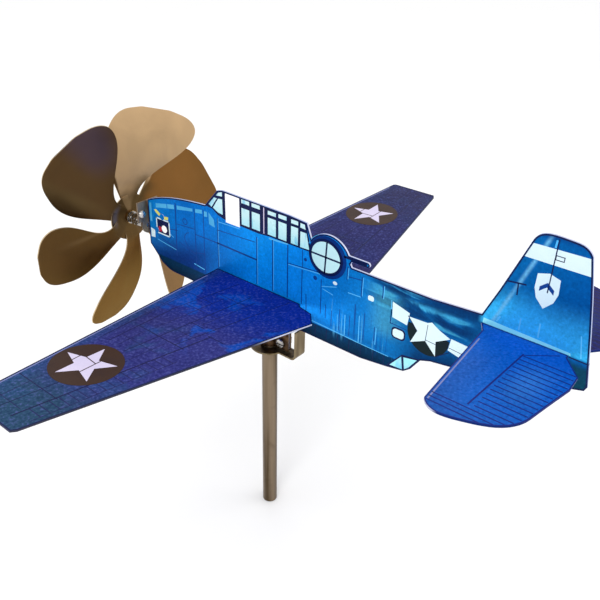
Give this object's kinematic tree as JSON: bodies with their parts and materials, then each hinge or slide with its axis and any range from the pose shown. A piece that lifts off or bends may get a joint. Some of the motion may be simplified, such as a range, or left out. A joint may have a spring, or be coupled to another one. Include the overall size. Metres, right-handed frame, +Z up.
{
  "type": "whirligig",
  "caption": "Sheet-metal aeroplane whirligig that turns into the wind on a short pole, with a petal-bladed rotor spinning on an axle at its nose.",
  "frame": {"origin": "centre of the pole's open lower end", "axes": "+Z up along the pole, -Y towards the aeroplane's nose, +X towards its port wing tip, in the rest pose"},
  "size_m": [0.3936, 0.3628, 0.2873],
  "materials": {
    "pole_steel": "brushed tube with a warm tarnish",
    "turned_steel": "turned, plain",
    "bearing_brass": "turned, plain",
    "bracket_metal": "stamped strip, dull yellow passivated",
    "zinc_fasteners": "bright zinc plate",
    "printed_fuselage": "glossy printed aircraft artwork on both sides, bare light cut edges",
    "printed_wing": "glossy printed aircraft artwork, bare light cut edges",
    "printed_tailplane": "glossy printed aircraft artwork, bare light cut edges",
    "rotor_bronze": "satin bronze-coloured sheet"
  },
  "bodies": {
    "mast": {"pole": "pole_steel", "pivot_plug": "turned_steel", "pivot_pin": "turned_steel", "thrust_washer": "bearing_brass"},
    "vane": {"swivel_bracket": "bracket_metal", "bearing_sleeve": "turned_steel", "sleeve_cap": "turned_steel", "saddle_clip": "bracket_metal", "clip_screw": "zinc_fasteners", "clip_nut": "zinc_fasteners", "ear_rivet": "zinc_fasteners", "fuselage_plate": "printed_fuselage", "port_wing": "printed_wing", "starboard_wing": "printed_wing", "wing_rivets": "zinc_fasteners", "port_tailplane": "printed_tailplane", "starboard_tailplane": "printed_tailplane", "tailplane_rivets": "zinc_fasteners", "nose_bracket": "bracket_metal", "nose_rivets": "printed_fuselage", "dome_rivet": "zinc_fasteners", "axle_bolt": "zinc_fasteners", "lock_nuts": "zinc_fasteners", "retaining_nut": "zinc_fasteners"},
    "rotor": {"six_blade_rotor": "rotor_bronze", "rotor_bush": "bearing_brass", "axle_washers": "zinc_fasteners"}
  },
  "joints": [
    {"name": "vane_yaw", "type": "hinge", "parent": "mast", "child": "vane", "pos_m": [0, 0, 0.155], "axis": [0, 0, 1], "continuous": true},
    {"name": "rotor_spin", "type": "hinge", "parent": "vane", "child": "rotor", "pos_m": [0, -0.1423, 0.2018], "axis": [0, 1, 0], "continuous": true}
  ]
}
